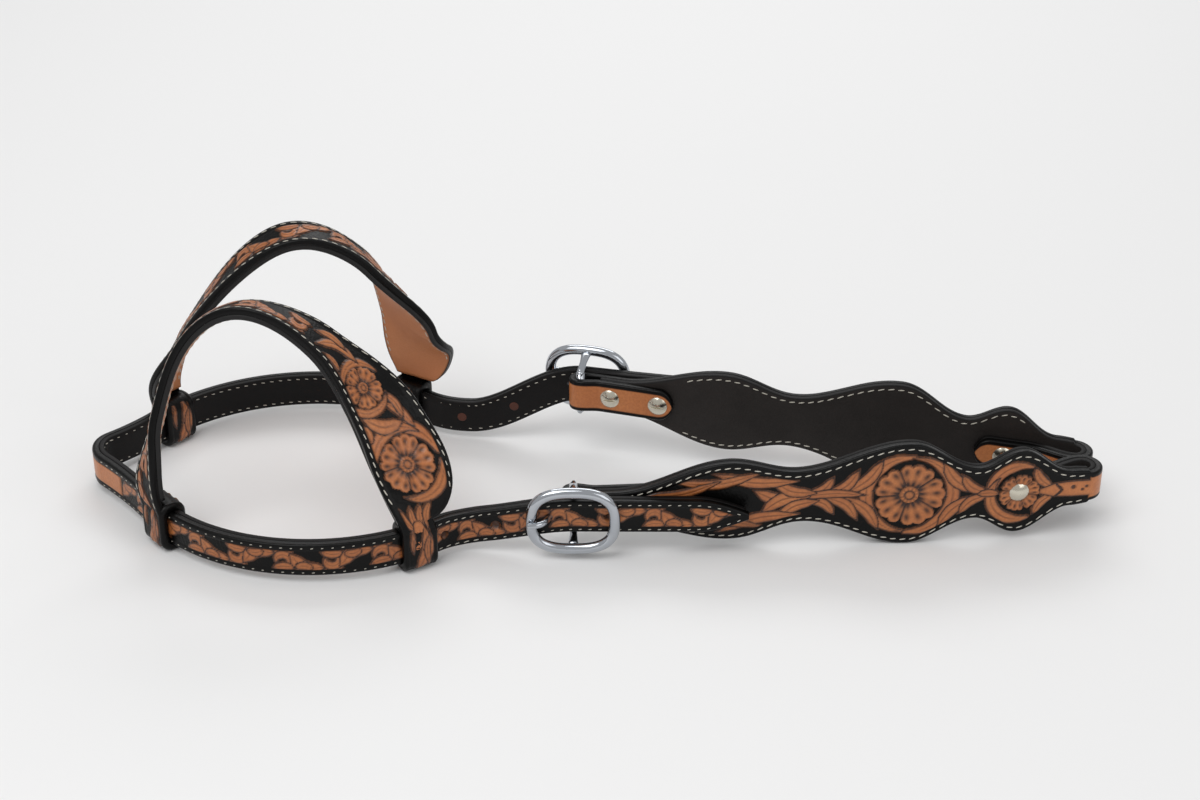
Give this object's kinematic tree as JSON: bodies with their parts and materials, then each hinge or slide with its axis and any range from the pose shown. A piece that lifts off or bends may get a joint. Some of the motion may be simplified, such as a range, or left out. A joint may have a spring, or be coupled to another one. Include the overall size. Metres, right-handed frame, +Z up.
{
  "type": "two-ear headstall",
  "caption": "Tooled western two-ear headstall with sliding ear loops, centre-bar buckles, scalloped cheekpieces and screw-closed bit ends, lying on its lower edges.",
  "frame": {"origin": "centre of the bounding box in plan, on the ground plane that the lower edges lie on", "axes": "+X from the poll towards the bit ends, +Y towards the far side of the head, +Z up"},
  "size_m": [0.4646, 0.1578, 0.1193],
  "materials": {
    "tooled_leather": "tooled, dyed and burnished",
    "dark_lining": "smooth matte",
    "natural_lining": "smooth natural",
    "buckle_chrome": "polished",
    "nickel_screw": "bright nickel plate"
  },
  "bodies": {
    "crown": {"crown_strap": "tooled_leather", "crown_lining": "dark_lining"},
    "near_ear": {"near_ear_outer": "tooled_leather", "near_ear_lining": "natural_lining"},
    "near_cheek": {"near_cheek_outer": "tooled_leather", "near_cheek_lining": "dark_lining", "near_tab_posts": "nickel_screw", "near_tab_screws": "nickel_screw", "near_bit_post": "nickel_screw"},
    "near_bit_screw": {"near_bit_screw": "nickel_screw"},
    "near_buckle": {"near_buckle_frame": "buckle_chrome"},
    "near_tongue": {"near_buckle_tongue": "buckle_chrome"},
    "far_ear": {"far_ear_outer": "tooled_leather", "far_ear_lining": "natural_lining"},
    "far_cheek": {"far_cheek_outer": "tooled_leather", "far_cheek_lining": "dark_lining", "far_tab_posts": "nickel_screw", "far_tab_screws": "nickel_screw", "far_bit_post": "nickel_screw"},
    "far_bit_screw": {"far_bit_screw": "nickel_screw"},
    "far_buckle": {"far_buckle_frame": "buckle_chrome"},
    "far_tongue": {"far_buckle_tongue": "buckle_chrome"}
  },
  "joints": [
    {"name": "near_ear_slide", "type": "hinge", "parent": "crown", "child": "near_ear", "pos_m": [-0.1226, 0.01393, 0.012], "axis": [0, 0, 1], "range_deg": [-1.8, 1.8]},
    {"name": "near_cheek_swing", "type": "hinge", "parent": "crown", "child": "near_cheek", "pos_m": [-0.00662, -0.04467, 0.02], "axis": [0.002, 0, -1], "range_deg": [-0.2, 0.8]},
    {"name": "near_buckle_rock", "type": "hinge", "parent": "crown", "child": "near_buckle", "pos_m": [-0.00662, -0.04467, 0.02], "axis": [0.002, 0, -1], "range_deg": [-1.5, 1.5]},
    {"name": "near_tongue_lift", "type": "hinge", "parent": "near_buckle", "child": "near_tongue", "pos_m": [-0.00662, -0.04467, 0.02], "axis": [-0.002, 0, 1], "range_deg": [0, 1.4]},
    {"name": "near_bit_screw_turn", "type": "hinge", "parent": "near_cheek", "child": "near_bit_screw", "pos_m": [0.19243, -0.03948, 0.0246], "axis": [-0.1289, 0.9917, 0], "continuous": true},
    {"name": "far_ear_slide", "type": "hinge", "parent": "crown", "child": "far_ear", "pos_m": [-0.13381, -0.01393, 0.012], "axis": [0, 0, 1], "range_deg": [-1.8, 1.8]},
    {"name": "far_cheek_swing", "type": "hinge", "parent": "crown", "child": "far_cheek", "pos_m": [-0.00403, 0.03337, 0.0338], "axis": [-0.005, 0.0012, 1], "range_deg": [-0.2, 0.8]},
    {"name": "far_buckle_rock", "type": "hinge", "parent": "crown", "child": "far_buckle", "pos_m": [-0.00403, 0.03337, 0.0338], "axis": [-0.005, 0.0012, 1], "range_deg": [-0.5, 1.5]},
    {"name": "far_tongue_lift", "type": "hinge", "parent": "far_buckle", "child": "far_tongue", "pos_m": [-0.00403, 0.03337, 0.0338], "axis": [0.005, -0.0012, -1], "range_deg": [0, 1.4]},
    {"name": "far_bit_screw_turn", "type": "hinge", "parent": "far_cheek", "child": "far_bit_screw", "pos_m": [0.19223, 0.00217, 0.02142], "axis": [-0.1257, -0.9921, 0], "continuous": true}
  ]
}
